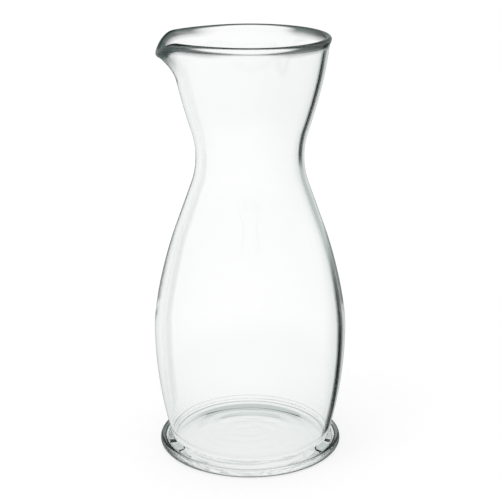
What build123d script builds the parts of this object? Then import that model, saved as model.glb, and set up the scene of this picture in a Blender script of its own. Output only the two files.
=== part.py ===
from build123d import *
from math import asin, atan2, cos, degrees, pi, radians, sin
import os

# Overall sizes, in millimetres, with the origin on the axis at the standing plane and the lip along -X
height = 228.0  # standing plane to the top of the rim
belly_radius = 52.4
belly_height = 68.2
waist_radius = 28.8
mouth_rise = 63.6  # height of the rim above the waist
mouth_radius = 42.4  # outermost line of the rim's bead

# Shape of the wall between those sizes
waist_bend = 44.7  # radius of the waist's curve, seen from the side
lean_ratio = 1.45  # how much steeper the wall leaves the waist than the straight line to belly or mouth
cone_share = 0.3  # share of the rise from the belly to the waist's curve over which the wall runs straight
crown_pull = 0.27  # pull of the crown's curve at each of its ends, as a share of its chord
belly_wall = 3.5
waist_wall = 2.8
rim_wall = 2.7

# Foot
foot_radius = 50.4
foot_edge = 4.8  # thickness of the flange at its round edge
flange_width = 6.0  # from the flange's edge in to the crease, where the body rises
crease_height = 8.0
crease_fillet = 1.0
standing_width = 6.0  # width of the flat ring that the carafe stands on
floor_height = 5.8  # inside floor above the table
base_wall = 3.0  # wall between the crease and the inside corner
floor_fillet = 1.6
push_up = 2.4  # rise of the underside at the axis

# Rim bead and pouring lip
bead_radius = 1.7
bead_proud = 0.5  # how far the bead stands out from the wall outside
bead_neck = 2.6  # distance below the bead's centre over which it runs into the wall
lip_depth = 24.0  # how far below the rim the lip starts to leave the neck
lip_reach = 6.4  # how far the lip stands out past the mouth
lip_dip = 7.0  # how far the tip lies below the rim
lip_lean = 45.0  # angle of the lip's underside from upright, at the tip
lip_half_pull = 70.0  # angle on either side over which the rim is drawn outwards
lip_half_dip = 31.0  # angle on either side over which the rim dips
lip_azimuth = 180.0
lip_steps = 28  # sections from one side of the lip to the other
collar_pull = 0.38  # pull of the collar's curves, as a share of their chord
weld = 0.001  # largest gap closed where the lip's drawn surfaces meet the turned ones


def lean_angle(lower_radius, lower_height, upper_radius, upper_height):
    """Angle of the wall from upright where it leaves the waist."""
    rise = upper_height - lower_height
    return lean_ratio * degrees(atan2(abs(upper_radius - lower_radius), rise))


waist_height = height - mouth_rise
cone_lean = lean_angle(waist_radius, belly_height, belly_radius, waist_height)
bead_centre = Vector(mouth_radius - bead_radius, height - bead_radius)
rim_root = Vector(mouth_radius - bead_proud, height - bead_radius - bead_neck)
flare_lean = lean_angle(waist_radius, waist_height, rim_root.X, rim_root.Y)
collar_height = height - lip_depth


def waist_curve(radius, bend):
    """The waist's arc for one face of the wall, from the cone up to the flare."""
    start = Vector(radius + bend * (1 - cos(radians(cone_lean))), waist_height - bend * sin(radians(cone_lean)))
    heading = Vector(-sin(radians(cone_lean)), cos(radians(cone_lean)))
    return JernArc(start, heading, bend, -(cone_lean + flare_lean), mode=Mode.PRIVATE)


def flare_curve(waist, rim):
    """The arc from the waist to the collar, and the wall's heading there."""
    whole = TangentArc(waist @ 1, rim, tangent=waist % 1, mode=Mode.PRIVATE)
    centre = whole.arc_center
    turn = [asin((z - centre.Y) / whole.radius) for z in ((whole @ 0).Y, collar_height, rim.Y)]
    share = (turn[1] - turn[0]) / (turn[2] - turn[0])
    arc = ThreePointArc(whole @ 0, whole @ (share / 2), whole @ share, mode=Mode.PRIVATE)
    return arc, whole % share, whole % 1


outer_waist = waist_curve(waist_radius, waist_bend)
outer_flare, outer_heading, rim_heading = flare_curve(outer_waist, rim_root)
rim_lean = degrees(atan2(rim_heading.X, rim_heading.Y))
rim_across = Vector(cos(radians(rim_lean)), -sin(radians(rim_lean)))
inner_waist = waist_curve(waist_radius - waist_wall, waist_bend + waist_wall)
inner_flare, inner_heading, _ = flare_curve(inner_waist, rim_root - rim_across * rim_wall)


def wall_edges(foot, belly, waist, flare):
    """One face of the wall from the foot to the collar."""
    up = Vector(0, 1)
    cone_heading = waist % 0
    cone_length = cone_share * ((waist @ 0).Y - belly.Y) / cone_heading.Y
    cone_start = waist @ 0 - cone_heading * cone_length
    handle = crown_pull * (cone_start - belly).length
    return [
        TangentArc(belly, foot, tangent=-up, mode=Mode.PRIVATE),
        Bezier(
            belly,
            belly + up * handle,
            cone_start - cone_heading * handle,
            cone_start,
            mode=Mode.PRIVATE,
        ),
        Line(cone_start, waist @ 0, mode=Mode.PRIVATE),
        waist,
        flare,
    ]


def swell(angle, half_width):
    """1 in the middle of the lip, falling smoothly to 0 at half_width on either side."""
    if abs(angle) >= half_width:
        return 0.0
    return (1 + cos(pi * angle / half_width)) / 2


def smooth_curve(start, start_heading, end, end_heading):
    """A curve between two points with a given heading at each."""
    pull = collar_pull * (end - start).length
    return Bezier(start, start + start_heading * pull, end - end_heading * pull, end)


def radial_plane(angle):
    """Upright plane through the axis, with its first axis pointing away at an angle from the lip's middle."""
    turn = radians(lip_azimuth + angle)
    return Plane(origin=(0, 0, 0), x_dir=(cos(turn), sin(turn), 0), z_dir=(sin(turn), -cos(turn), 0))


def collar_section(angle):
    """Section of wall and bead from the collar to the rim, at an angle from the lip's middle."""
    drawn = swell(angle, lip_half_pull)
    lean = radians(rim_lean + (lip_lean - rim_lean) * drawn)
    along = Vector(sin(lean), cos(lean))
    across = Vector(cos(lean), -sin(lean))
    centre = bead_centre + Vector(lip_reach * drawn, -lip_dip * swell(angle, lip_half_dip))
    outer_neck = centre + across * (bead_radius - bead_proud) - along * bead_neck
    inner_neck = outer_neck - across * rim_wall
    with BuildSketch(radial_plane(angle)) as section:
        with BuildLine():
            smooth_curve(outer_flare @ 1, outer_heading, outer_neck, along)
            smooth_curve(outer_neck, along, centre + across * bead_radius, along)
            ThreePointArc(
                centre + across * bead_radius,
                centre + along * bead_radius,
                centre - across * bead_radius,
            )
            smooth_curve(centre - across * bead_radius, -along, inner_neck, -along)
            smooth_curve(inner_neck, -along, inner_flare @ 1, -inner_heading)
            Line(inner_flare @ 1, outer_flare @ 1)
        make_face()
    return section.sketch


with BuildPart() as turned:
    # Foot, belly, waist and neck, turned about the axis
    with BuildSketch(Plane.XZ) as vessel:
        edge = foot_edge / 2
        ring_outer = foot_radius - edge
        ring_inner = ring_outer - standing_width
        flange_top = Vector(ring_outer, foot_edge)
        crease = Vector(foot_radius - flange_width, crease_height)
        corner = Vector(crease.X - base_wall, floor_height)
        with BuildLine():
            Line((0, floor_height), (0, push_up))
            TangentArc((0, push_up), (ring_inner, 0), tangent=(1, 0))
            Line((ring_inner, 0), (ring_outer, 0))
            ThreePointArc((ring_outer, 0), (foot_radius, edge), flange_top)
            Line(flange_top, crease)
            add(wall_edges(crease, Vector(belly_radius, belly_height), outer_waist, outer_flare))
            Line(outer_flare @ 1, inner_flare @ 1)
            inner_belly = Vector(belly_radius - belly_wall, belly_height)
            add(wall_edges(corner, inner_belly, inner_waist, inner_flare))
            Line(corner, (0, floor_height))
        make_face()
        fillet(vessel.vertices().sort_by_distance(crease)[0], crease_fillet)
        fillet(vessel.vertices().sort_by_distance(corner)[0], floor_fillet)
    revolve(axis=Axis.Z)

    # Collar and bead round the back of the mouth
    revolve(collar_section(lip_half_pull), axis=Axis.Z, revolution_arc=360 - 2 * lip_half_pull)

with BuildPart() as lip:
    angles = [lip_half_pull * (2 * step / lip_steps - 1) for step in range(lip_steps + 1)]
    loft([collar_section(angle) for angle in angles])

# Body, foot and lip are one piece of glass
with BuildPart() as glass_body:
    add(turned.part.fuse(lip.part, tol=weld))

glass_body.part.label = "glass_body"

os.makedirs("parts", exist_ok=True)
export_step(glass_body.part, "parts/glass_body.step")
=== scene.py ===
"""Clear glass carafe with a pulled pouring lip, on a plain pale floor under soft studio light."""

from math import asin, atan2, cos, pi, radians, sin

import bpy
from bpy.props import FloatProperty, FloatVectorProperty, IntProperty, PointerProperty
from mathutils import Matrix, Vector


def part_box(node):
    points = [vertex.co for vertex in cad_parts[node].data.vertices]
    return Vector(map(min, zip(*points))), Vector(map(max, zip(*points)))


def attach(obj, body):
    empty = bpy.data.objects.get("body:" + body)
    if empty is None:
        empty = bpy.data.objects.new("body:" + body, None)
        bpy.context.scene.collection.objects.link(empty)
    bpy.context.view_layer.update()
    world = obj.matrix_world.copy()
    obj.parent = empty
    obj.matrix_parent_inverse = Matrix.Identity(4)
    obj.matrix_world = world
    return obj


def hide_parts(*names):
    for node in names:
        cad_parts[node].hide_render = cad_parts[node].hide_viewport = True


bl_info = {
    "name": "Glass Carafe",
    "version": (1, 0, 0),
    "blender": (4, 5, 0),
    "location": "View3D > Sidebar > Carafe",
    "description": "Builds a blown glass carafe with a pulled lip, and a pale studio around it",
    "category": "Object",
}

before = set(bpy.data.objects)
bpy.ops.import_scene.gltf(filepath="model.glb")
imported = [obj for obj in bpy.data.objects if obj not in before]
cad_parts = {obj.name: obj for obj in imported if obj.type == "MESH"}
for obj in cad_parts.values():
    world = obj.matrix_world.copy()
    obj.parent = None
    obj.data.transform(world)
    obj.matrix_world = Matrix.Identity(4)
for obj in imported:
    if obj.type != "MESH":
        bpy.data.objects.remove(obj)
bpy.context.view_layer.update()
_, glass_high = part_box("glass_body")


def length(name, default, description):
    """A length in metres."""
    return FloatProperty(
        name=name, default=default, min=0.0, unit="LENGTH", precision=4, description=description
    )


def number(name, default, description, smallest=0.0):
    """A plain number."""
    return FloatProperty(name=name, default=default, min=smallest, description=description)


def angle(name, default, description):
    """An angle, with its default in degrees."""
    return FloatProperty(name=name, default=radians(default), subtype="ANGLE", description=description)


def colour(name, default, description):
    """A colour of red, green and blue."""
    return FloatVectorProperty(
        name=name, default=default, subtype="COLOR", size=3, min=0.0, max=1.0, description=description
    )


class CarafeSizes(bpy.types.PropertyGroup):
    """Sizes of the glass, in metres"""

    height: length("Height", glass_high.z, "Standing plane to the top of the rim")
    belly_radius: length("Belly Radius", glass_high.y, "Widest radius of the body")
    belly_height: length("Belly Height", 0.0682, "Height of the widest place")
    waist_radius: length("Waist Radius", 0.0288, "Narrowest radius, outside")
    mouth_rise: length("Mouth Rise", 0.0636, "Height of the rim above the waist")
    waist_bend: length("Waist Bend", 0.0447, "Radius of the waist's curve, seen from the side")
    mouth_radius: length("Mouth Radius", 0.0424, "Outermost line of the rim's bead")
    belly_wall: length("Belly Wall", 0.0035, "Thickness of the wall at the belly")
    waist_wall: length("Waist Wall", 0.0028, "Thickness of the wall at the waist")
    rim_wall: length("Rim Wall", 0.0027, "Thickness of the wall under the bead")
    lean_ratio: number("Lean Ratio", 1.45, "Lean of the wall at the waist against its straight line")
    cone_share: number("Cone Share", 0.3, "Share of the rise from belly to waist with a straight wall")
    crown_pull: number("Crown Pull", 0.27, "Pull of the crown's curve at its ends, as a share of its chord")
    foot_radius: length("Foot Radius", 0.0504, "Radius of the flange that the carafe stands on")
    foot_edge: length("Foot Edge", 0.0048, "Thickness of the flange at its round edge")
    flange_width: length("Flange Width", 0.006, "From the flange's edge in to the crease below the body")
    crease_height: length("Crease Height", 0.008, "Height of the crease above the table")
    crease_rounding: length("Crease Rounding", 0.0007, "Size of the rounding on either side of the crease")
    standing_width: length("Standing Width", 0.006, "Width of the flat ring it stands on")
    floor_height: length("Floor Height", 0.0058, "Inside floor above the table")
    corner_rounding: length("Corner Rounding", 0.0013, "Size of the rounding round the inside floor")
    base_wall: length("Base Wall", 0.003, "Wall between the crease and the inside corner")
    push_up: length("Push Up", 0.0024, "Rise of the underside at the axis")
    bead_radius: length("Bead Radius", 0.0017, "Radius of the rim's fire-polished bead")
    bead_proud: length("Bead Proud", 0.0005, "How far the bead stands out from the wall")
    bead_neck: length("Bead Neck", 0.0026, "Distance over which the bead runs into the wall")
    collar_pull: number("Collar Pull", 0.38, "Pull of the collar's curves, as a share of their chord")
    lip_depth: length("Lip Depth", 0.024, "How far below the rim the lip starts")
    lip_reach: length("Lip Reach", 0.0064, "How far the lip stands out past the mouth")
    lip_dip: length("Lip Dip", 0.007, "How far the tip lies below the rim")
    lip_lean: angle("Lip Lean", 45.0, "Lean of the lip's underside from upright, at the tip")
    lip_half_pull: angle("Lip Half Pull", 70.0, "Angle on either side over which the rim is drawn outwards")
    lip_half_dip: angle("Lip Half Dip", 31.0, "Angle on either side over which the rim dips")
    lip_azimuth: angle("Lip Azimuth", 180.0, "Direction of the lip, from the X axis")


class GlassFinish(bpy.types.PropertyGroup):
    """Surface and colour of the glass, and its painted shade"""

    clear_tint: colour("Clear Tint", (0.9985, 1.0, 0.9995), "Colour of the glass where it is clearest")
    # The deep colour also carries painted shade, greying the neck and the sides of the glass
    deep_tint_and_shade: colour("Deep Tint And Shade", (0.945, 0.956, 0.953), "Colour of the glass where it is deepest")
    # Colour of the painted shade on the glass's dark edge lines
    edge_shade_colour: colour("Edge Shade Colour", (0.01, 0.02, 0.018), "Colour of the glass on its dark edge lines")
    refraction: number("Refraction", 1.5, "Refractive index of the glass", smallest=1.0)
    wall_wave: length("Wall Wave", 0.00012, "Unevenness of the blown wall's inside")
    floor_wave: length("Floor Wave", 0.00005, "Height of the ripples in the floor")
    ripple_pitch: length("Ripple Pitch", 0.0085, "Distance between the ripples in the floor")
    turn_steps: IntProperty(name="Turn Steps", default=288, min=24, description="Sections round the axis")
    seed: number("Seed", 3.0, "Picks the pattern of the unevenness")


class StudioSettings(bpy.types.PropertyGroup):
    """Floor, light and camera"""

    floor_colour: colour("Floor Colour", (0.9, 0.9, 0.9), "Colour of the plain floor")
    floor_glow: number("Floor Glow", 0.72, "White that the floor shows by itself")
    floor_share: number("Floor Share", 0.36, "Share of the floor that takes light")
    floor_size: length("Floor Size", 8.0, "Side of the square floor")
    band_tone: number("Band Tone", 0.02, "Tone of the dark upright band")
    dark_near: angle("Dark Near", 32.0, "Start of the dark band, from the Y axis towards the X axis")
    dark_far: angle("Dark Far", 48.0, "End of the dark band, measured in the same way")
    dark_fade: angle("Dark Fade", 6.0, "Angle over which the band fades on either side")
    soft_width: angle("Soft Width", 18.0, "Width of the soft grey beside the dark band")
    soft_depth: number("Soft Depth", 0.45, "How far the soft grey lies below white")
    ceiling_tone: number("Ceiling Tone", 0.6, "Tone of the studio high up")
    sky_light: number("Sky Light", 0.9, "Light from all around")
    lamp_power: FloatProperty(
        name="Lamp Power", default=3.0, min=0.0, unit="POWER", description="Power of the soft lamp"
    )
    lamp_place: FloatVectorProperty(
        name="Lamp Place",
        default=(-0.9, -0.6, 1.1),
        size=3,
        unit="LENGTH",
        description="Middle of the lamp",
    )
    lamp_size: length("Lamp Size", 0.7, "Side of the square lamp")
    lamp_aim: length("Lamp Aim", 0.1, "Height on the carafe's axis that the lamp looks at")
    glass_bounces: IntProperty(
        name="Glass Bounces",
        default=24,
        min=4,
        description="Turns that light may take inside the thick foot",
    )
    camera_distance: length("Camera Distance", 0.710, "Camera to the carafe's axis, along the floor")
    camera_height: length("Camera Height", 0.3388, "Height of the camera above the floor")
    camera_turn: angle("Camera Turn", -5.4, "Angle of the camera round the axis")
    camera_pitch: angle("Camera Pitch", 17.74, "How far the camera looks down")
    camera_roll: angle("Camera Roll", -0.07, "How far the camera leans to one side")
    focal_length: number("Focal Length", 99.1, "Lens of the camera, in millimetres", smallest=1.0)
    sensor_width: number("Sensor Width", 36.0, "Width of its sensor, in millimetres", smallest=1.0)


def feed(tree, value, socket):
    """Links a socket to a socket, or sets a plain value on it."""
    if isinstance(value, bpy.types.NodeSocket):
        tree.links.new(value, socket)
    else:
        socket.default_value = value


def shown_socket(sockets, name):
    """The socket of that name that a node shows for its data type."""
    return next(socket for socket in sockets if socket.name == name and socket.enabled)


def calc(tree, operation, *values, clamp=False):
    """One Math node."""
    node = tree.nodes.new("ShaderNodeMath")
    node.operation = operation
    node.use_clamp = clamp
    for value, socket in zip(values, node.inputs):
        feed(tree, value, socket)
    return node.outputs[0]


def product(tree, *factors):
    """The factors multiplied together, one Math node after another."""
    result = factors[0]
    for factor in factors[1:]:
        result = calc(tree, "MULTIPLY", result, factor)
    return result


def total(tree, *parts, clamp=False):
    """The parts added up, one Math node after another, and kept from 0 to 1 at the end when asked."""
    result = parts[0]
    for part in parts[1:-1]:
        result = calc(tree, "ADD", result, part)
    return calc(tree, "ADD", result, parts[-1], clamp=clamp)


def inverse(tree, value):
    """1 less the value."""
    return calc(tree, "SUBTRACT", 1.0, value)


def smooth_step(tree, value, low, high):
    """0 at low, 1 at high, and a smooth run between them. It falls where low is above high."""
    node = tree.nodes.new("ShaderNodeMapRange")
    node.interpolation_type = "SMOOTHSTEP"
    feed(tree, value, node.inputs["Value"])
    feed(tree, low, node.inputs["From Min"])
    feed(tree, high, node.inputs["From Max"])
    return node.outputs["Result"]


def moved(tree, place, move, amount):
    """A place moved by an amount of a vector."""
    scaled = tree.nodes.new("ShaderNodeVectorMath")
    scaled.operation = "SCALE"
    feed(tree, move, scaled.inputs[0])
    feed(tree, amount, scaled.inputs["Scale"])
    added = tree.nodes.new("ShaderNodeVectorMath")
    added.operation = "ADD"
    feed(tree, place, added.inputs[0])
    feed(tree, scaled.outputs[0], added.inputs[1])
    return added.outputs[0]


def parted(tree, vector):
    """A vector's X, Y and Z."""
    node = tree.nodes.new("ShaderNodeSeparateXYZ")
    feed(tree, vector, node.inputs[0])
    return node.outputs["X"], node.outputs["Y"], node.outputs["Z"]


def noise_field(tree, place, scale, detail, seed=None):
    """Smooth noise from 0 to 1, in a pattern that the seed picks where one is given."""
    node = tree.nodes.new("ShaderNodeTexNoise")
    node.inputs["Scale"].default_value = scale
    node.inputs["Detail"].default_value = detail
    feed(tree, place, node.inputs["Vector"])
    if seed is not None:
        node.noise_dimensions = "4D"
        feed(tree, seed, node.inputs["W"])
    return node.outputs["Fac"]


def mixed_colour(tree, factor, first, second):
    """The first colour at 0, the second at 1."""
    node = tree.nodes.new("ShaderNodeMix")
    node.data_type = "RGBA"
    colours = [socket for socket in node.inputs if socket.type == "RGBA"]
    feed(tree, factor, node.inputs["Factor"])
    feed(tree, first, colours[0])
    feed(tree, second, colours[1])
    return next(socket for socket in node.outputs if socket.type == "RGBA")


def left_of(heading):
    """The direction at a right angle to the left of a heading."""
    return Vector((-heading.y, heading.x))


def turned(vector, turn):
    """A vector turned to the left by an angle."""
    across = vector.x * cos(turn) - vector.y * sin(turn)
    along = vector.x * sin(turn) + vector.y * cos(turn)
    return Vector((across, along))


def line_points(start, end, count):
    """A straight run of points."""
    return [start.lerp(end, step / count) for step in range(count + 1)]


def arc_points(start, heading, radius, turn, count):
    """An arc that leaves start along heading. A positive turn goes to the left."""
    centre = start + left_of(heading) * radius * (1 if turn > 0 else -1)
    return [centre + turned(start - centre, turn * step / count) for step in range(count + 1)]


def half_turn_over(chord, heading):
    """Half the turn of the arc that leaves along heading and spans the chord."""
    return atan2(heading.x * chord.y - heading.y * chord.x, heading.dot(chord))


def arc_to(start, heading, end, count):
    """The arc that leaves start along heading and ends at end."""
    chord = end - start
    half_turn = half_turn_over(chord, heading)
    radius = chord.length / 2 / abs(sin(half_turn))
    return arc_points(start, heading, radius, 2 * half_turn, count)


def bezier_points(start, start_handle, end_handle, end, count):
    """A curve from start to end that its two handles pull on."""
    points = []
    for step in range(count + 1):
        share = step / count
        rest = 1 - share
        from_start = start * rest**3 + start_handle * (3 * share * rest**2)
        points.append(from_start + end_handle * (3 * share * share * rest) + end * share**3)
    return points


def smooth_points(start, start_heading, end, end_heading, pull, count):
    """A curve with a given heading at each end, pulled by a share of its chord."""
    reach = pull * (end - start).length
    return bezier_points(start, start + start_heading * reach, end - end_heading * reach, end, count)


def run_of(*stretches):
    """Stretches that meet end to end, as one list of points."""
    points = list(stretches[0])
    for stretch in stretches[1:]:
        points += stretch[1:]
    return points


def rounded(before, after, size, count):
    """Two runs that meet in a corner, with the corner rounded over a given size on either side."""
    corner = before[-1]
    kept_before = [point for point in before if (point - corner).length > size]
    kept_after = [point for point in after if (point - corner).length > size]
    start = corner + (kept_before[-1] - corner).normalized() * size
    end = corner + (kept_after[0] - corner).normalized() * size
    bend = []
    for step in range(count + 1):
        share = step / count
        bend.append(start * (1 - share) ** 2 + corner * (2 * share * (1 - share)) + end * share * share)
    return kept_before + bend + kept_after


def floor_radius(sizes):
    """Radius of the inside floor's corner."""
    return sizes.foot_radius - sizes.flange_width - sizes.base_wall


class WallSection:
    """The carafe's wall, cut in half through the axis, as points of radius and height."""

    hollow_steps = 18
    ring_steps = 3
    edge_steps = 12
    flange_steps = 6
    crease_steps = 7
    wall_steps = 26
    cone_steps = 8
    waist_steps = 16
    flare_steps = 12
    collar_steps = 12
    neck_steps = 4
    bead_steps = 10
    corner_steps = 10
    floor_steps = 60

    def __init__(self, sizes):
        self.sizes = sizes
        self.waist_height = sizes.height - sizes.mouth_rise
        bead_height = sizes.height - sizes.bead_radius
        self.bead_centre = Vector((sizes.mouth_radius - sizes.bead_radius, bead_height))
        rim_root = Vector((sizes.mouth_radius - sizes.bead_proud, bead_height - sizes.bead_neck))
        self.cone_lean = self.lean(sizes.belly_radius, self.waist_height - sizes.belly_height)
        self.flare_lean = self.lean(rim_root.x, rim_root.y - self.waist_height)
        self.collar_height = sizes.height - sizes.lip_depth
        self.outer_waist = self.waist(sizes.waist_radius, sizes.waist_bend)
        self.outer_flare, self.outer_heading, rim_heading = self.flare(self.outer_waist[-1], rim_root)
        self.rim_lean = atan2(rim_heading.x, rim_heading.y)
        inner_root = rim_root - Vector((cos(self.rim_lean), -sin(self.rim_lean))) * sizes.rim_wall
        inner_radius = sizes.waist_radius - sizes.waist_wall
        self.inner_waist = self.waist(inner_radius, sizes.waist_bend + sizes.waist_wall)
        self.inner_flare, self.inner_heading, _ = self.flare(self.inner_waist[-1], inner_root)

    def lean(self, radius, rise):
        """Angle of the wall from upright where it leaves the waist."""
        return self.sizes.lean_ratio * atan2(radius - self.sizes.waist_radius, rise)

    def waist(self, radius, bend):
        """The waist's arc for one face of the wall, from the cone up to the flare."""
        lean = self.cone_lean
        start = Vector((radius + bend * (1 - cos(lean)), self.waist_height - bend * sin(lean)))
        heading = Vector((-sin(lean), cos(lean)))
        return arc_points(start, heading, bend, -(lean + self.flare_lean), self.waist_steps)

    def flare(self, start, root):
        """The arc from the waist to the collar, its heading there, and the wall's heading at the rim."""
        heading = Vector((sin(self.flare_lean), cos(self.flare_lean)))
        chord = root - start
        half_turn = half_turn_over(chord, heading)
        radius = chord.length / 2 / sin(half_turn)
        centre_height = start.y + left_of(heading).y * radius
        begin, cut = (asin((height - centre_height) / radius) for height in (start.y, self.collar_height))
        turn = abs(cut - begin) * (1 if half_turn > 0 else -1)
        points = arc_points(start, heading, abs(radius), turn, self.flare_steps)
        return points, turned(heading, turn), turned(heading, 2 * half_turn)

    def wall(self, foot, belly, waist, flare):
        """One face of the wall from the foot to the collar."""
        up = Vector((0, 1))
        cone_heading = Vector((-sin(self.cone_lean), cos(self.cone_lean)))
        cone_length = self.sizes.cone_share * (waist[0].y - belly.y) / cone_heading.y
        cone_start = waist[0] - cone_heading * cone_length
        lower = arc_to(belly, -up, foot, self.wall_steps)
        pull = self.sizes.crown_pull
        crown = smooth_points(belly, up, cone_start, cone_heading, pull, self.wall_steps)
        cone = line_points(cone_start, waist[0], self.cone_steps)
        return run_of(lower[::-1], crown, cone, waist, flare)

    def collar(self, drawn, dipped):
        """Over the rim from outside to inside, with the lip drawn out and dipped by shares."""
        sizes = self.sizes
        lean = self.rim_lean + (sizes.lip_lean - self.rim_lean) * drawn
        along = Vector((sin(lean), cos(lean)))
        across = Vector((cos(lean), -sin(lean)))
        centre = self.bead_centre + Vector((sizes.lip_reach * drawn, -sizes.lip_dip * dipped))
        outer_neck = centre + across * (sizes.bead_radius - sizes.bead_proud) - along * sizes.bead_neck
        inner_neck = outer_neck - across * sizes.rim_wall
        outer_side = centre + across * sizes.bead_radius
        inner_side = centre - across * sizes.bead_radius
        outer_end, inner_end = self.outer_flare[-1], self.inner_flare[-1]
        pull = sizes.collar_pull
        return run_of(
            smooth_points(outer_end, self.outer_heading, outer_neck, along, pull, self.collar_steps),
            smooth_points(outer_neck, along, outer_side, along, pull, self.neck_steps),
            arc_points(outer_side, along, sizes.bead_radius, pi, self.bead_steps),
            smooth_points(inner_side, -along, inner_neck, -along, pull, self.neck_steps),
            smooth_points(inner_neck, -along, inner_end, -self.inner_heading, pull, self.collar_steps),
        )

    def foot(self):
        """From the axis along the underside and round the foot's edge to the crease."""
        sizes = self.sizes
        out = Vector((1, 0))
        edge = sizes.foot_edge / 2
        ring_end = Vector((sizes.foot_radius - edge, 0))
        ring_start = ring_end - out * sizes.standing_width
        flange_top = ring_end + Vector((0, 2 * edge))
        crease = Vector((sizes.foot_radius - sizes.flange_width, sizes.crease_height))
        return run_of(
            arc_to(Vector((0, sizes.push_up)), out, ring_start, self.hollow_steps),
            line_points(ring_start, ring_end, self.ring_steps),
            arc_points(ring_end, out, edge, pi, self.edge_steps),
            line_points(flange_top, crease, self.flange_steps),
        )

    def points(self, drawn, dipped):
        """The section from the underside's middle to the floor's middle, and where it turns at the rim."""
        sizes = self.sizes
        outer_belly = Vector((sizes.belly_radius, sizes.belly_height))
        inner_belly = outer_belly - Vector((sizes.belly_wall, 0))
        foot = self.foot()
        outer_wall = self.wall(foot[-1], outer_belly, self.outer_waist, self.outer_flare)
        outside = rounded(foot, outer_wall, sizes.crease_rounding, self.crease_steps)
        collar = self.collar(drawn, dipped)
        corner = Vector((floor_radius(sizes), sizes.floor_height))
        inner_wall = self.wall(corner, inner_belly, self.inner_waist, self.inner_flare)
        floor = line_points(corner, Vector((0, sizes.floor_height)), self.floor_steps)
        inside = rounded(inner_wall[::-1], floor, sizes.corner_rounding, self.corner_steps)
        return run_of(outside, collar, inside), len(outside) + len(collar) // 2


def nearness(point, centre, radius, fade):
    """1 on a circle or inside it, falling to 0 at a given distance outside."""
    return 1 - min(1.0, max(0.0, ((point - centre).length - radius) / fade))


def section_mesh(sizes):
    """The section as a chain of points, with the lip's moves and the marks of its parts as attributes."""
    section = WallSection(sizes)
    plain, turn_back = section.points(0.0, 0.0)
    half, _ = section.points(0.5, 0.0)
    full, _ = section.points(1.0, 0.0)
    dipped, _ = section.points(1.0, 1.0)
    mesh = bpy.data.meshes.new("wall_section")
    edges = [(start, start + 1) for start in range(len(plain) - 1)]
    mesh.from_pydata([(point.x, 0, point.y) for point in plain], edges, [])

    # A point's way as the lip is drawn is the square curve through its plain, half and fully drawn place
    moves = {
        "drawn_once": [middle * 4 - end - start * 3 for start, middle, end in zip(plain, half, full)],
        "drawn_twice": [end * 2 - middle * 4 + start * 2 for start, middle, end in zip(plain, half, full)],
        "dipped": [low - level for level, low in zip(full, dipped)],
    }
    for name, vectors in moves.items():
        attribute = mesh.attributes.new(name, "FLOAT_VECTOR", "POINT")
        attribute.data.foreach_set("vector", [part for move in vectors for part in (move.x, 0.0, move.y)])

    # Marks from 0 to 1 of the wall's inside, the rim's bead and the flange's round edge
    half_edge = sizes.foot_edge / 2
    edge_centre = Vector((sizes.foot_radius - half_edge, half_edge))
    edge_fade = half_edge * 0.4
    marks = {"inner_wall": [], "round_edge": [], "foot_edge": []}
    for index, point in enumerate(plain):
        at_bead = nearness(point, section.bead_centre, sizes.bead_radius, sizes.bead_neck)
        marks["inner_wall"].append(1 - at_bead if index >= turn_back else 0.0)
        marks["round_edge"].append(at_bead)
        marks["foot_edge"].append(nearness(point, edge_centre, half_edge, edge_fade))
    for name, shares in marks.items():
        mesh.attributes.new(name, "FLOAT", "POINT").data.foreach_set("value", shares)
    return mesh


def section_value(tree, section, row, kind, name):
    """A named value of the section, or its position, at this point's row."""
    if name == "position":
        field = tree.nodes.new("GeometryNodeInputPosition").outputs[0]
    else:
        named = tree.nodes.new("GeometryNodeInputNamedAttribute")
        named.data_type = kind
        named.inputs["Name"].default_value = name
        field = named.outputs["Attribute"]
    sample = tree.nodes.new("GeometryNodeSampleIndex")
    sample.data_type = kind
    feed(tree, section, sample.inputs["Geometry"])
    feed(tree, field, shown_socket(sample.inputs, "Value"))
    feed(tree, row, sample.inputs["Index"])
    return shown_socket(sample.outputs, "Value")


def swell(tree, off_lip, half_width):
    """1 in the middle of the lip, falling smoothly to 0 at half_width on either side."""
    reached = calc(tree, "MINIMUM", calc(tree, "DIVIDE", off_lip, half_width), 1.0)
    wave = calc(tree, "COSINE", product(tree, reached, pi))
    return product(tree, calc(tree, "ADD", wave, 1.0), 0.5)


def around_axis(tree, heading, radius, height):
    """The place at a heading round the axis, at a radius and a height."""
    node = tree.nodes.new("ShaderNodeCombineXYZ")
    feed(tree, product(tree, calc(tree, "COSINE", heading), radius), node.inputs["X"])
    feed(tree, product(tree, calc(tree, "SINE", heading), radius), node.inputs["Y"])
    feed(tree, height, node.inputs["Z"])
    return node.outputs[0]


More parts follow.
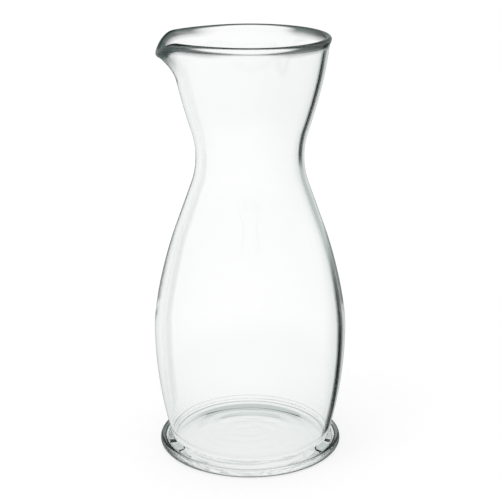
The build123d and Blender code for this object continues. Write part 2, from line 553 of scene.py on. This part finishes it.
def uneven_inside(tree, given, heading, radius, height, inner):
    """Radius and height with long upright waves in the blown wall and winding ripples in the floor."""
    # Heights count for less in the noise, which draws the waves out upright
    upright_share = 0.35
    where = around_axis(tree, heading, radius, product(tree, height, upright_share))
    noise = noise_field(tree, where, scale=34.0, detail=1.0, seed=given["Seed"])
    unevenness = product(tree, calc(tree, "SUBTRACT", noise, 0.5), 2.0)
    wave = product(tree, unevenness, given["Wall Wave"], inner)

    # The ripples fade towards the floor's corner and towards its middle
    outward = calc(tree, "DIVIDE", radius, given["Floor Radius"])
    off_corner = smooth_step(tree, outward, low=0.98, high=0.6)
    off_middle = smooth_step(tree, outward, low=0.0, high=0.12)
    fade = product(tree, off_corner, off_middle)
    flatness = 0.00001
    on_floor = calc(tree, "COMPARE", height, given["Floor Height"], flatness)
    wander = 5.0
    phase = product(tree, calc(tree, "DIVIDE", radius, given["Ripple Pitch"]), 2 * pi)
    winding = total(tree, phase, heading, product(tree, unevenness, wander))
    ripple = product(tree, calc(tree, "SINE", winding), given["Floor Wave"])
    rise = product(tree, product(tree, ripple, fade), product(tree, on_floor, inner))
    push = product(tree, wave, inverse(tree, on_floor))
    return calc(tree, "ADD", radius, push), calc(tree, "ADD", height, rise)


def turned_glass_tree(sizes, finish, material):
    """Geometry Nodes: turns the section about the axis, draws out the lip, and makes the inside uneven."""
    tree = bpy.data.node_groups.new("Turned Glass", "GeometryNodeTree")
    inputs = [
        ("Section", "NodeSocketGeometry", None),
        ("Turn Steps", "NodeSocketInt", finish.turn_steps),
        ("Lip Azimuth", "NodeSocketFloat", sizes.lip_azimuth),
        ("Lip Half Pull", "NodeSocketFloat", sizes.lip_half_pull),
        ("Lip Half Dip", "NodeSocketFloat", sizes.lip_half_dip),
        ("Wall Wave", "NodeSocketFloat", finish.wall_wave),
        ("Floor Wave", "NodeSocketFloat", finish.floor_wave),
        ("Ripple Pitch", "NodeSocketFloat", finish.ripple_pitch),
        ("Floor Radius", "NodeSocketFloat", floor_radius(sizes)),
        ("Floor Height", "NodeSocketFloat", sizes.floor_height),
        ("Seed", "NodeSocketFloat", finish.seed),
        ("Material", "NodeSocketMaterial", material),
    ]
    values = {}
    for name, kind, value in inputs:
        socket = tree.interface.new_socket(name, in_out="INPUT", socket_type=kind)
        if value is not None:
            values[socket.identifier] = value
    tree.interface.new_socket("Glass", in_out="OUTPUT", socket_type="NodeSocketGeometry")
    given = tree.nodes.new("NodeGroupInput").outputs
    section = given["Section"]

    # A grid with one column of points for each section round the axis
    count_node = tree.nodes.new("GeometryNodeAttributeDomainSize")
    feed(tree, section, count_node.inputs["Geometry"])
    count = count_node.outputs["Point Count"]
    grid = tree.nodes.new("GeometryNodeMeshGrid")
    feed(tree, calc(tree, "ADD", given["Turn Steps"], 1.0), grid.inputs["Vertices X"])
    feed(tree, count, grid.inputs["Vertices Y"])
    index = tree.nodes.new("GeometryNodeInputIndex").outputs[0]
    row = calc(tree, "FLOORED_MODULO", index, count)
    column = calc(tree, "FLOOR", calc(tree, "DIVIDE", calc(tree, "ADD", index, 0.5), count))

    # The sections stand closer together at the lip than at the back
    crowding = 0.45
    turn = product(tree, calc(tree, "DIVIDE", column, given["Turn Steps"]), 2 * pi)
    from_lip = calc(tree, "ADD", turn, product(tree, calc(tree, "SINE", turn), -crowding))
    off_lip = calc(tree, "MINIMUM", from_lip, calc(tree, "SUBTRACT", 2 * pi, from_lip))
    drawn = swell(tree, off_lip, given["Lip Half Pull"])
    dipped = swell(tree, off_lip, given["Lip Half Dip"])
    place = section_value(tree, section, row, "FLOAT_VECTOR", "position")
    amounts = (("drawn_once", drawn), ("drawn_twice", product(tree, drawn, drawn)), ("dipped", dipped))
    for name, amount in amounts:
        place = moved(tree, place, section_value(tree, section, row, "FLOAT_VECTOR", name), amount)

    radius, _, height = parted(tree, place)
    heading = calc(tree, "ADD", from_lip, given["Lip Azimuth"])
    inner = section_value(tree, section, row, "FLOAT", "inner_wall")
    radius, height = uneven_inside(tree, given, heading, radius, height, inner)
    shape = tree.nodes.new("GeometryNodeSetPosition")
    feed(tree, grid.outputs["Mesh"], shape.inputs["Geometry"])
    feed(tree, around_axis(tree, heading, radius, height), shape.inputs["Position"])

    # The marks go along with the glass, for the painted dark edge lines in its material
    marked = shape.outputs[0]
    for name in ("inner_wall", "round_edge", "foot_edge"):
        keep = tree.nodes.new("GeometryNodeStoreNamedAttribute")
        keep.data_type = "FLOAT"
        keep.inputs["Name"].default_value = name
        feed(tree, marked, keep.inputs["Geometry"])
        value = section_value(tree, section, row, "FLOAT", name)
        feed(tree, value, shown_socket(keep.inputs, "Value"))
        marked = keep.outputs[0]

    # First and last section meet, and so do the points on the axis. The tree ends in real, painted geometry,
    # because the export drops instances.
    closed = tree.nodes.new("GeometryNodeMergeByDistance")
    closed.inputs["Distance"].default_value = 0.000005
    feed(tree, marked, closed.inputs["Geometry"])
    smooth = tree.nodes.new("GeometryNodeSetShadeSmooth")
    feed(tree, closed.outputs[0], smooth.inputs["Geometry"])
    real = tree.nodes.new("GeometryNodeRealizeInstances")
    feed(tree, smooth.outputs[0], real.inputs["Geometry"])
    painted = tree.nodes.new("GeometryNodeSetMaterial")
    feed(tree, real.outputs[0], painted.inputs["Geometry"])
    feed(tree, given["Material"], painted.inputs["Material"])
    result = tree.nodes.new("NodeGroupOutput")
    feed(tree, painted.outputs[0], result.inputs[0])
    return tree, values


def mark(tree, name):
    """A mark that the piece's mesh carries, from 0 to 1."""
    node = tree.nodes.new("ShaderNodeAttribute")
    node.attribute_name = name
    return node.outputs["Fac"]


def tint_and_shade_depth(tree, place, across, upright):
    """How deep the glass's colour is, from 0 to 1: deepest towards the bottom, with random clouds, and
    painted shade that greys the neck, the lip's side and the back, more at the neck's back.
    """
    cloud_share, neck_share, lip_side_share = 0.15, 0.2, 0.12
    back_share, neck_back_share = 0.2, 0.5
    # The clouds are random tone; the neck, back and lip side shares are painted shade
    cloud = smooth_step(tree, noise_field(tree, place, scale=18.0, detail=2.0), low=0.4, high=0.65)
    bottom = inverse(tree, smooth_step(tree, upright, low=0.03, high=0.062))
    neck = smooth_step(tree, upright, low=0.11, high=0.2)
    back = smooth_step(tree, across, low=-0.01, high=0.035)
    lip_side = inverse(tree, smooth_step(tree, across, low=-0.045, high=-0.015))
    return total(
        tree,
        bottom,
        product(tree, neck, neck_share),
        product(tree, lip_side, lip_side_share),
        product(tree, back, calc(tree, "ADD", back_share, product(tree, neck, neck_back_share))),
        product(tree, cloud, cloud_share),
        clamp=True,
    )


def painted_shade_line(tree, facing, part, low, high, strength):
    """A painted dark line of shade on a part of the glass, which comes in from low to high as the surface
    turns away.
    """
    return product(tree, smooth_step(tree, facing, low, high), part, strength)


def painted_edge_shade(tree, across, upright):
    """Painted shade on the glass where its edges turn away, from 0 to 1: dark lines that stand in for the
    dark studio that the edges refract and mirror.
    """
    facing = tree.nodes.new("ShaderNodeLayerWeight").outputs["Facing"]
    bead = mark(tree, "round_edge")
    above_flange = smooth_step(tree, upright, low=0.008, high=0.014)
    outer_wall = product(tree, above_flange, inverse(tree, bead), inverse(tree, mark(tree, "inner_wall")))
    near_rim = smooth_step(tree, upright, low=0.2, high=0.212)
    lip = product(tree, near_rim, inverse(tree, smooth_step(tree, across, low=-0.044, high=-0.036)))
    # Painted shade: dark lines on the bead, the outer wall's silhouette, under the lip's tip and round the
    # flange's edge
    return total(
        tree,
        painted_shade_line(tree, facing, bead, low=0.08, high=0.22, strength=0.99),
        painted_shade_line(tree, facing, outer_wall, low=0.84, high=1.0, strength=0.8),
        painted_shade_line(tree, facing, lip, low=0.4, high=0.65, strength=0.95),
        painted_shade_line(tree, facing, mark(tree, "foot_edge"), low=0.15, high=0.5, strength=0.97),
        clamp=True,
    )


def clear_glass(finish):
    """Clear blown glass: a faint grey-green that deepens unevenly, with painted shade greying its neck and
    sides and painted dark lines where its edges turn away.
    """
    material = bpy.data.materials.new("clear_glass")
    material.use_nodes = True
    tree = material.node_tree
    shader = tree.nodes["Principled BSDF"]
    shader.inputs["Transmission Weight"].default_value = 1.0
    shader.inputs["Roughness"].default_value = 0.0
    shader.inputs["IOR"].default_value = finish.refraction
    place = tree.nodes.new("ShaderNodeTexCoord").outputs["Object"]
    across, _, upright = parted(tree, place)
    # Deeper colour towards the bottom and in random clouds, and painted shade at the neck and sides
    tint_and_shade_amount = tint_and_shade_depth(tree, place, across, upright)
    tint = mixed_colour(tree, tint_and_shade_amount, (*finish.clear_tint, 1.0), (*finish.deep_tint_and_shade, 1.0))
    # Painted shade: where the edges turn away the colour is drawn towards the dark edge colour
    edged = mixed_colour(tree, painted_edge_shade(tree, across, upright), tint, (*finish.edge_shade_colour, 1.0))
    feed(tree, edged, shader.inputs["Base Color"])
    return material


def glass_body(sizes, finish):
    """The carafe's one piece of glass, which stands for the CAD node."""
    section = section_mesh(sizes)
    piece = bpy.data.objects.new("carafe_glass", section)
    bpy.context.scene.collection.objects.link(piece)
    tree, values = turned_glass_tree(sizes, finish, clear_glass(finish))
    modifier = piece.modifiers.new("Turned Glass", "NODES")
    modifier.node_group = tree
    for identifier, value in values.items():
        modifier[identifier] = value
    view = bpy.context.evaluated_depsgraph_get()
    glass = bpy.data.meshes.new_from_object(piece.evaluated_get(view))
    glass.name = "carafe_glass"
    piece.modifiers.clear()
    piece.data = glass
    bpy.data.meshes.remove(section)
    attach(piece, "root")
    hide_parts("glass_body")
    return piece


def pale_floor(studio):
    """A plain pale floor that keeps the carafe's soft shadow."""
    half = studio.floor_size / 2
    corners = [(-half, -half, 0), (half, -half, 0), (half, half, 0), (-half, half, 0)]
    mesh = bpy.data.meshes.new("studio_floor")
    mesh.from_pydata(corners, [], [(0, 1, 2, 3)])
    floor = bpy.data.objects.new("studio_floor", mesh)
    bpy.context.scene.collection.objects.link(floor)
    material = bpy.data.materials.new("pale_floor")
    material.use_nodes = True
    tree = material.node_tree
    tree.nodes.remove(tree.nodes["Principled BSDF"])
    matte = tree.nodes.new("ShaderNodeBsdfDiffuse")
    lit_colour = (channel * studio.floor_share for channel in studio.floor_colour)
    matte.inputs["Color"].default_value = (*lit_colour, 1.0)
    glow = tree.nodes.new("ShaderNodeEmission")
    path = tree.nodes.new("ShaderNodeLightPath").outputs
    in_glass = calc(tree, "MAXIMUM", path["Is Glossy Ray"], path["Is Transmission Ray"])
    seen = calc(tree, "MAXIMUM", path["Is Camera Ray"], in_glass)
    feed(tree, product(tree, seen, studio.floor_glow), glow.inputs["Strength"])
    both = tree.nodes.new("ShaderNodeAddShader")
    feed(tree, matte.outputs[0], both.inputs[0])
    feed(tree, glow.outputs[0], both.inputs[1])
    feed(tree, both.outputs[0], tree.nodes["Material Output"].inputs["Surface"])
    mesh.materials.append(material)
    floor.visible_transmission = False
    floor.visible_glossy = False
    return floor


def seen_through(tree, around, upright, studio):
    """Tone of the studio through the glass, and the dark band's share of it, each from 0 to 1."""
    past_near = smooth_step(tree, around, studio.dark_near - studio.dark_fade, studio.dark_near)
    past_far = smooth_step(tree, around, studio.dark_far, studio.dark_far + studio.dark_fade)
    before_far = inverse(tree, past_far)
    above_foot = smooth_step(tree, upright, low=-0.75, high=-0.6)
    below_top = inverse(tree, smooth_step(tree, upright, low=-0.28, high=-0.1))
    band = product(tree, past_near, before_far, product(tree, above_foot, below_top))
    leading = smooth_step(tree, around, studio.dark_near - studio.soft_width, studio.dark_near)
    soft = product(tree, leading, studio.soft_depth, above_foot, before_far)
    shade = calc(tree, "MAXIMUM", product(tree, band, 1 - studio.band_tone), soft)
    high_up = smooth_step(tree, upright, low=0.1, high=0.5)
    ceiling = product(tree, high_up, 1 - studio.ceiling_tone)
    return product(tree, inverse(tree, shade), inverse(tree, ceiling)), band


def seen_mirrored(tree, around, upright, band, studio):
    """Tone of the studio that the glass mirrors: palest near the camera, dim overhead and at the band."""
    middle_tone, swing = 0.72, 0.28
    band_share, overhead_share = 0.95, 0.7
    far_side = calc(tree, "COSINE", calc(tree, "ADD", around, studio.camera_turn))
    tone = calc(tree, "SUBTRACT", middle_tone, product(tree, far_side, swing))
    overhead = smooth_step(tree, upright, low=0.4, high=0.85)
    off_band = inverse(tree, product(tree, band, band_share))
    off_overhead = inverse(tree, product(tree, overhead, overhead_share))
    return product(tree, tone, off_band, off_overhead)


def studio_world(studio):
    """White to the camera, even light to the floor, and a soft studio to the glass.

    The studio has one dark upright band with soft grey on one side of it, and a dimmer ceiling.
    Heights in it run from -1 straight down to 1 straight up.
    """
    world = bpy.data.worlds.new("soft_studio")
    bpy.context.scene.world = world
    world.use_nodes = True
    tree = world.node_tree
    background = tree.nodes["Background"]
    outward = tree.nodes.new("ShaderNodeTexCoord").outputs["Generated"]
    toward_x, toward_y, upright = parted(tree, outward)
    around = calc(tree, "ARCTAN2", toward_x, toward_y)
    through, band = seen_through(tree, around, upright, studio)
    mirrored = seen_mirrored(tree, around, upright, band, studio)

    # Light that passes through glass counts as mirrored too, so it is taken out of that share
    path = tree.nodes.new("ShaderNodeLightPath").outputs
    passed = path["Is Transmission Ray"]
    lit = total(
        tree,
        product(tree, path["Is Diffuse Ray"], studio.sky_light),
        product(tree, passed, through),
        product(tree, path["Is Glossy Ray"], inverse(tree, passed), mirrored),
    )
    shown = calc(tree, "MAXIMUM", lit, path["Is Camera Ray"])
    feed(tree, shown, background.inputs["Strength"])

    # Where the studio dims in the glass it turns slightly green
    white = (1.0, 1.0, 1.0, 1.0)
    pale_green = (0.8, 1.0, 0.96, 1.0)
    whiteness = calc(tree, "MAXIMUM", shown, path["Is Diffuse Ray"])
    feed(tree, mixed_colour(tree, whiteness, pale_green, white), background.inputs["Color"])
    return world


def soft_lamp(studio):
    """A square soft lamp that looks at the carafe's belly."""
    lamp = bpy.data.lights.new("soft_lamp", "AREA")
    lamp.shape = "SQUARE"
    lamp.size = studio.lamp_size
    lamp.energy = studio.lamp_power
    piece = bpy.data.objects.new("soft_lamp", lamp)
    bpy.context.scene.collection.objects.link(piece)
    piece.location = studio.lamp_place
    look = Vector((0, 0, studio.lamp_aim)) - Vector(studio.lamp_place)
    piece.rotation_euler = look.to_track_quat("-Z", "Y").to_euler()
    piece.visible_glossy = False
    piece.visible_transmission = False
    return piece


def photo_camera(studio):
    """The camera at the photograph's angle."""
    data = bpy.data.cameras.new("photo_camera")
    data.lens = studio.focal_length
    data.sensor_width = studio.sensor_width
    camera = bpy.data.objects.new("photo_camera", data)
    bpy.context.scene.collection.objects.link(camera)
    turn = Matrix.Rotation(studio.camera_turn, 4, "Z")
    out = turn @ Vector((0, -studio.camera_distance, 0))
    tilt = Matrix.Rotation(pi / 2 - studio.camera_pitch, 4, "X")
    look = turn @ tilt @ Matrix.Rotation(studio.camera_roll, 4, "Z")
    camera.matrix_world = Matrix.Translation((out.x, out.y, studio.camera_height)) @ look
    bpy.context.scene.camera = camera
    return camera


class CARAFE_OT_glass_body(bpy.types.Operator):
    """Build the carafe's body, foot and lip as one piece of glass"""

    bl_idname = "carafe.glass_body"
    bl_label = "Glass Body"

    def execute(self, context):
        glass_body(context.scene.carafe_sizes, context.scene.carafe_finish)
        return {"FINISHED"}


class CARAFE_OT_studio(bpy.types.Operator):
    """Build the floor, the soft light and the camera"""

    bl_idname = "carafe.studio"
    bl_label = "Studio"

    def execute(self, context):
        studio = context.scene.carafe_studio
        pale_floor(studio)
        studio_world(studio)
        soft_lamp(studio)
        photo_camera(studio)
        cycles = context.scene.cycles
        cycles.max_bounces = studio.glass_bounces
        cycles.glossy_bounces = studio.glass_bounces
        cycles.transmission_bounces = studio.glass_bounces
        context.scene.view_settings.view_transform = "Standard"
        return {"FINISHED"}


class CARAFE_PT_sidebar(bpy.types.Panel):
    """Sizes, finish and studio of the carafe"""

    bl_idname = "CARAFE_PT_sidebar"
    bl_label = "Glass Carafe"
    bl_space_type = "VIEW_3D"
    bl_region_type = "UI"
    bl_category = "Carafe"

    def draw(self, context):
        column = self.layout.column()
        column.operator(CARAFE_OT_glass_body.bl_idname)
        column.operator(CARAFE_OT_studio.bl_idname)
        scene = context.scene
        for group in (scene.carafe_sizes, scene.carafe_finish, scene.carafe_studio):
            box = self.layout.box()
            for name in group.__annotations__:
                box.prop(group, name)


CLASSES = (
    CarafeSizes,
    GlassFinish,
    StudioSettings,
    CARAFE_OT_glass_body,
    CARAFE_OT_studio,
    CARAFE_PT_sidebar,
)


def register():
    for cls in CLASSES:
        bpy.utils.register_class(cls)
    bpy.types.Scene.carafe_sizes = PointerProperty(type=CarafeSizes)
    bpy.types.Scene.carafe_finish = PointerProperty(type=GlassFinish)
    bpy.types.Scene.carafe_studio = PointerProperty(type=StudioSettings)


def unregister():
    del bpy.types.Scene.carafe_studio
    del bpy.types.Scene.carafe_finish
    del bpy.types.Scene.carafe_sizes
    for cls in reversed(CLASSES):
        bpy.utils.unregister_class(cls)


def main():
    register()
    bpy.ops.carafe.glass_body()
    bpy.ops.carafe.studio()


if __name__ == "__main__":
    main()
